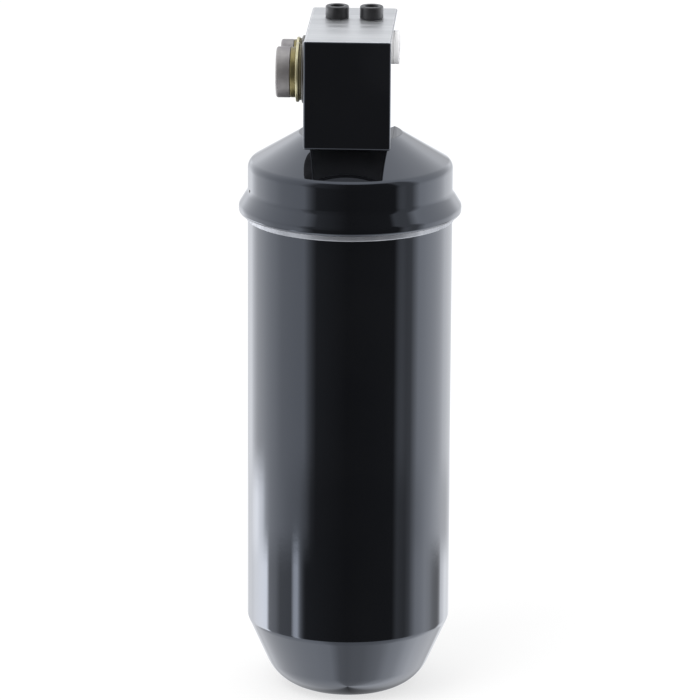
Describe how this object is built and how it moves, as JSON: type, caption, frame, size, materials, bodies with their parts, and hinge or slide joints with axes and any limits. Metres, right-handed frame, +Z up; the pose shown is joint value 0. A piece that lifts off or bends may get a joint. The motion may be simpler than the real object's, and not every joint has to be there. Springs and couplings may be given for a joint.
{
  "type": "filter drier",
  "caption": "Receiver drier: upright black can with a flared lid and a drilled head block that carries capped line ports, a fusible plug and plugged fastening holes.",
  "frame": {"origin": "centre of the flat spot on the can's bottom, on the can's axis", "axes": "+Z up along the can's axis, -X towards the capped line ports, -Y towards the inlet's end of the head block"},
  "size_m": [0.0826, 0.0826, 0.2584],
  "materials": {
    "black_paint": "gloss black paint",
    "black_plastic": "moulded",
    "cap_metal": "dull grey plating",
    "brass": "dull turned",
    "yellow_plating": "pale yellow plating",
    "gasket_rubber": "dark",
    "bare_aluminium": "machined",
    "solder": "dull cast",
    "steel": "plain",
    "felt": "felt",
    "grains": "packed grains"
  },
  "bodies": {
    "drier": {"canister_shell": "black_paint", "lid": "black_paint", "head_block": "black_paint", "strainer_cage": "black_plastic", "inlet_adapter": "brass", "outlet_adapter": "brass", "inlet_washer": "yellow_plating", "outlet_washer": "yellow_plating", "inlet_gasket": "gasket_rubber", "outlet_gasket": "gasket_rubber", "tube_seal": "gasket_rubber", "fusible_plug": "bare_aluminium", "fusible_washer": "bare_aluminium", "pickup_tube": "bare_aluminium", "fusible_core": "solder", "strainer_screen": "steel", "lower_plate": "steel", "upper_plate": "steel", "pack_spring": "steel", "lower_pad": "felt", "upper_pad": "felt", "desiccant_bed": "grains"},
    "inlet_liner": {"inlet_cap_liner": "gasket_rubber"},
    "inlet_cap": {"inlet_cap": "cap_metal"},
    "outlet_liner": {"outlet_cap_liner": "gasket_rubber"},
    "outlet_cap": {"outlet_cap": "cap_metal"},
    "left_plug": {"left_hole_plug": "black_plastic"},
    "right_plug": {"right_hole_plug": "black_plastic"}
  },
  "joints": [
    {"name": "inlet_cap_travel", "type": "slide", "parent": "drier", "child": "inlet_liner", "axis": [-1, 0, 0], "range_m": [0, 0.00351]},
    {"name": "inlet_cap_turn", "type": "hinge", "parent": "inlet_liner", "child": "inlet_cap", "pos_m": [-0.02125, -0.0141, 0.23872], "axis": [-1, 0, 0], "range_deg": [0, 900]},
    {"name": "outlet_cap_travel", "type": "slide", "parent": "drier", "child": "outlet_liner", "axis": [-1, 0, 0], "range_m": [0, 0.00301]},
    {"name": "outlet_cap_turn", "type": "hinge", "parent": "outlet_liner", "child": "outlet_cap", "pos_m": [-0.0213, 0.0083, 0.23872], "axis": [-1, 0, 0], "range_deg": [0, 900]},
    {"name": "left_plug_pull", "type": "slide", "parent": "drier", "child": "left_plug", "axis": [0, 0, 1], "range_m": [0, 0.0065]},
    {"name": "right_plug_pull", "type": "slide", "parent": "drier", "child": "right_plug", "axis": [0, 0, 1], "range_m": [0, 0.0065]}
  ],
  "couplings": [
    {"joint": "inlet_cap_travel", "follows": "inlet_cap_turn", "m_per_rad": 0.00022282},
    {"joint": "outlet_cap_travel", "follows": "outlet_cap_turn", "m_per_rad": 0.00019099}
  ]
}
